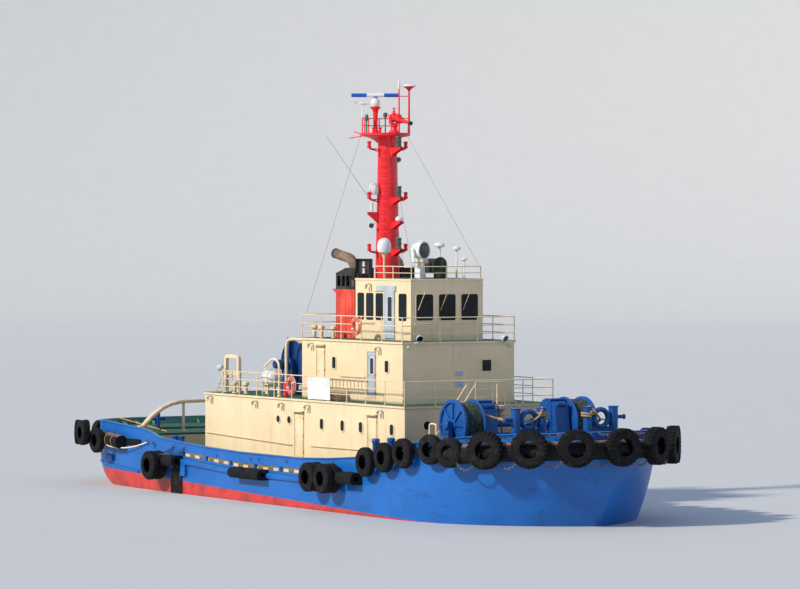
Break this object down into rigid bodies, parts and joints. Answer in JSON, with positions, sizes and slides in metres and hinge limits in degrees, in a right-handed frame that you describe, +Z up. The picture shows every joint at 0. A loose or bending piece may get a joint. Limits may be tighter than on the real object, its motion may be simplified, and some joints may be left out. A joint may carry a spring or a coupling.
{
  "type": "harbour tugboat",
  "caption": "Harbour tugboat with tiered deckhouse, red signal mast, bow winch, tyre fenders and steerable thrusters below the stern.",
  "frame": {"origin": "on the centreline amidships at the waterline", "axes": "+X towards the bow, +Y to port, +Z up"},
  "size_m": [36.806, 11.9936, 21.22],
  "materials": {
    "hull_blue": "gloss marine paint",
    "house_cream": "satin marine paint",
    "mast_red": "gloss marine paint",
    "deck_green": "matt deck paint",
    "rubber": "weathered black rubber",
    "white_paint": "satin paint",
    "grey_paint": "satin paint",
    "black_paint": "matt paint",
    "window_glass": "dark tinted",
    "bronze": "cast bronze"
  },
  "bodies": {
    "ship": {"hull": "hull_blue", "bulwark": "hull_blue", "bow_fender": "rubber", "shoulder_fender_starboard": "rubber", "shoulder_fender_port": "rubber", "quarter_fender_starboard": "rubber", "quarter_fender_port": "rubber", "middle_fender_starboard": "rubber", "middle_fender_port": "rubber", "forward_fender_starboard": "rubber", "forward_fender_port": "rubber", "stern_fender": "rubber", "deckhouse_walls": "house_cream", "boat_deck": "deck_green", "cabin_walls": "house_cream", "bridge_deck": "deck_green", "wheelhouse_walls": "house_cream", "wheelhouse_glazing": "window_glass", "boat_deck_rail": "house_cream", "bridge_deck_rail": "house_cream", "wheelhouse_roof": "house_cream", "funnel_starboard": "mast_red", "funnel_port": "mast_red", "mast": "mast_red", "bow_winch_frame": "hull_blue", "bow_bitts": "hull_blue", "reel_frame": "hull_blue", "reel_hoop": "house_cream", "vent_arch": "house_cream", "life_raft": "white_paint", "towing_bow": "house_cream", "quarter_bitts": "hull_blue", "front_stairs": "house_cream", "after_stair": "house_cream"},
    "thruster_starboard": {"thruster_starboard": "grey_paint"},
    "thruster_port": {"thruster_port": "grey_paint"},
    "propeller_starboard": {"propeller_starboard": "bronze"},
    "propeller_port": {"propeller_port": "bronze"},
    "bow_drum_starboard": {"bow_drum_starboard": "hull_blue"},
    "bow_drum_port": {"bow_drum_port": "hull_blue"},
    "reel_drum": {"reel_drum": "hull_blue"},
    "radar_scanner": {"radar_scanner": "hull_blue"},
    "monitor_body": {"monitor_body": "mast_red"},
    "monitor_barrel": {"monitor_barrel": "mast_red"},
    "searchlight_yoke": {"searchlight_yoke": "white_paint"},
    "searchlight_lamp": {"searchlight_lamp": "white_paint"},
    "davit": {"davit": "house_cream"},
    "deckhouse_door_aft_starboard": {"deckhouse_door_aft_starboard": "house_cream"},
    "deckhouse_door_aft_port": {"deckhouse_door_aft_port": "house_cream"},
    "deckhouse_door_fore_starboard": {"deckhouse_door_fore_starboard": "house_cream"},
    "deckhouse_door_fore_port": {"deckhouse_door_fore_port": "house_cream"},
    "casing_door_starboard": {"casing_door_starboard": "house_cream"},
    "casing_door_port": {"casing_door_port": "house_cream"},
    "cabin_door_starboard": {"cabin_door_starboard": "grey_paint"},
    "cabin_door_port": {"cabin_door_port": "grey_paint"},
    "wheelhouse_door_starboard": {"wheelhouse_door_starboard": "grey_paint"},
    "wheelhouse_door_port": {"wheelhouse_door_port": "grey_paint"}
  },
  "joints": [
    {"name": "thruster_steer_starboard", "type": "hinge", "parent": "ship", "child": "thruster_starboard", "pos_m": [-13.2, -2.15, -1.5], "axis": [0, 0, 1], "continuous": true},
    {"name": "propeller_spin_starboard", "type": "hinge", "parent": "thruster_starboard", "child": "propeller_starboard", "pos_m": [-13.2, -2.15, -2.9], "axis": [1, 0, 0], "continuous": true},
    {"name": "bow_drum_spin_starboard", "type": "hinge", "parent": "ship", "child": "bow_drum_starboard", "pos_m": [11.1, -2.5, 3.6], "axis": [0, 1, 0], "continuous": true},
    {"name": "thruster_steer_port", "type": "hinge", "parent": "ship", "child": "thruster_port", "pos_m": [-13.2, 2.15, -1.5], "axis": [0, 0, 1], "continuous": true},
    {"name": "propeller_spin_port", "type": "hinge", "parent": "thruster_port", "child": "propeller_port", "pos_m": [-13.2, 2.15, -2.9], "axis": [1, 0, 0], "continuous": true},
    {"name": "bow_drum_spin_port", "type": "hinge", "parent": "ship", "child": "bow_drum_port", "pos_m": [11.1, 2.5, 3.6], "axis": [0, 1, 0], "continuous": true},
    {"name": "reel_spin", "type": "hinge", "parent": "ship", "child": "reel_drum", "pos_m": [-4.5, 0, 5.45], "axis": [0, 1, 0], "continuous": true},
    {"name": "radar_spin", "type": "hinge", "parent": "ship", "child": "radar_scanner", "pos_m": [0.6, -0.19, 16.41], "axis": [0, 0, 1], "continuous": true},
    {"name": "monitor_swivel", "type": "hinge", "parent": "ship", "child": "monitor_body", "pos_m": [1.75, 0, 15.26], "axis": [0, 0, 1], "range_deg": [-100, 70]},
    {"name": "monitor_tip", "type": "hinge", "parent": "monitor_body", "child": "monitor_barrel", "pos_m": [1.75, 0, 15.5604], "axis": [0, -1, 0], "range_deg": [-10, 75]},
    {"name": "searchlight_swivel", "type": "hinge", "parent": "ship", "child": "searchlight_yoke", "pos_m": [5, -0.75, 9.1], "axis": [0, 0, 1], "range_deg": [-150, 150]},
    {"name": "searchlight_tip", "type": "hinge", "parent": "searchlight_yoke", "child": "searchlight_lamp", "pos_m": [5, -0.75, 10.22], "axis": [0.309, -0.9511, 0], "range_deg": [-25, 35]},
    {"name": "davit_swing", "type": "hinge", "parent": "ship", "child": "davit", "pos_m": [-2.25, -3.08, 4.22], "axis": [0, 0, 1], "range_deg": [-120, 120]},
    {"name": "deckhouse_door_aft_starboard_hinge", "type": "hinge", "parent": "ship", "child": "deckhouse_door_aft_starboard", "pos_m": [0.33, -3.41, 1.9], "axis": [0, 0, 1], "range_deg": [0, 100]},
    {"name": "deckhouse_door_aft_port_hinge", "type": "hinge", "parent": "ship", "child": "deckhouse_door_aft_port", "pos_m": [0.33, 3.41, 1.9], "axis": [0, 0, -1], "range_deg": [0, 100]},
    {"name": "deckhouse_door_fore_starboard_hinge", "type": "hinge", "parent": "ship", "child": "deckhouse_door_fore_starboard", "pos_m": [6.14, -3.41, 1.99], "axis": [0, 0, 1], "range_deg": [0, 100]},
    {"name": "deckhouse_door_fore_port_hinge", "type": "hinge", "parent": "ship", "child": "deckhouse_door_fore_port", "pos_m": [6.14, 3.41, 1.99], "axis": [0, 0, -1], "range_deg": [0, 100]},
    {"name": "casing_door_starboard_hinge", "type": "hinge", "parent": "ship", "child": "casing_door_starboard", "pos_m": [0.6, -2.58, 4.48], "axis": [0, 0, 1], "range_deg": [0, 100]},
    {"name": "casing_door_port_hinge", "type": "hinge", "parent": "ship", "child": "casing_door_port", "pos_m": [0.6, 2.58, 4.48], "axis": [0, 0, -1], "range_deg": [0, 100]},
    {"name": "cabin_door_starboard_hinge", "type": "hinge", "parent": "ship", "child": "cabin_door_starboard", "pos_m": [4.64, -2.58, 4.42], "axis": [0, 0, 1], "range_deg": [0, 100]},
    {"name": "cabin_door_port_hinge", "type": "hinge", "parent": "ship", "child": "cabin_door_port", "pos_m": [4.64, 2.58, 4.42], "axis": [0, 0, -1], "range_deg": [0, 100]},
    {"name": "wheelhouse_door_starboard_slide", "type": "slide", "parent": "ship", "child": "wheelhouse_door_starboard", "axis": [-1, 0, 0], "range_m": [0, 0.7]},
    {"name": "wheelhouse_door_port_slide", "type": "slide", "parent": "ship", "child": "wheelhouse_door_port", "axis": [-1, 0, 0], "range_m": [0, 0.7]}
  ]
}
